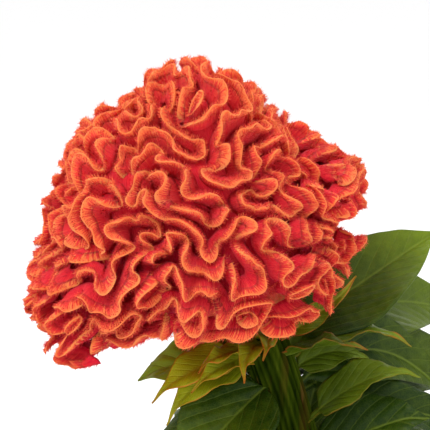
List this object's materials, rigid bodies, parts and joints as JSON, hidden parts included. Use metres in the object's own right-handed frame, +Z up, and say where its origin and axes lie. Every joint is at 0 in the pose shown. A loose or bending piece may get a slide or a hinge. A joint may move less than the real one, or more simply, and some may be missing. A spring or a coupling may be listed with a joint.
{
  "type": "potted cockscomb plant",
  "caption": "Cockscomb plant with one large ruffled orange-red crest over broad green leaves, in a plain clay pot.",
  "frame": {"origin": "middle of the pot's flat underside", "axes": "+Z upwards along the axis of the pot; +X to the right and +Y to the back as seen in the picture"},
  "size_m": [0.2257, 0.1891, 0.3419],
  "materials": {
    "clay": "matt unglazed fired clay",
    "soil": "loose dark potting soil of bark and peat",
    "stem": "ridged green stem with reddish streaks",
    "crest": "velvety, densely set with short fine bristles",
    "leaf": "satin leaf with pale veins and a thin red edge",
    "bract": "satin yellow-green leaf with an orange-red edge"
  },
  "bodies": {
    "root": {"pot": "clay", "soil": "soil", "stem": "stem", "flower_head": "crest", "leaf_right_broad": "leaf", "leaf_right_low": "leaf", "leaf_right_front": "leaf", "leaf_right_short": "leaf", "leaf_right_pale": "leaf", "leaf_right_arched": "leaf", "leaf_right_dark": "leaf", "leaf_right_behind": "leaf", "leaf_right_far": "leaf", "leaf_right_under": "leaf", "leaf_left_broad": "leaf", "leaf_left_narrow": "leaf", "leaf_left_pale": "leaf", "leaf_back_left": "leaf", "leaf_back_middle": "leaf", "leaf_back_low": "leaf", "leaf_low_1": "leaf", "leaf_low_2": "leaf", "leaf_low_3": "leaf", "leaf_low_4": "leaf", "leaf_low_5": "leaf", "leaf_low_6": "leaf", "leaf_low_7": "leaf", "bract_left_long": "bract", "bract_left_low": "bract", "bract_left_slim": "bract", "bract_left_small": "bract", "bract_front": "bract", "bract_front_thin": "bract", "bract_right": "bract", "bract_back_1": "bract", "bract_back_2": "bract", "bract_back_3": "bract"}
  },
  "joints": []
}
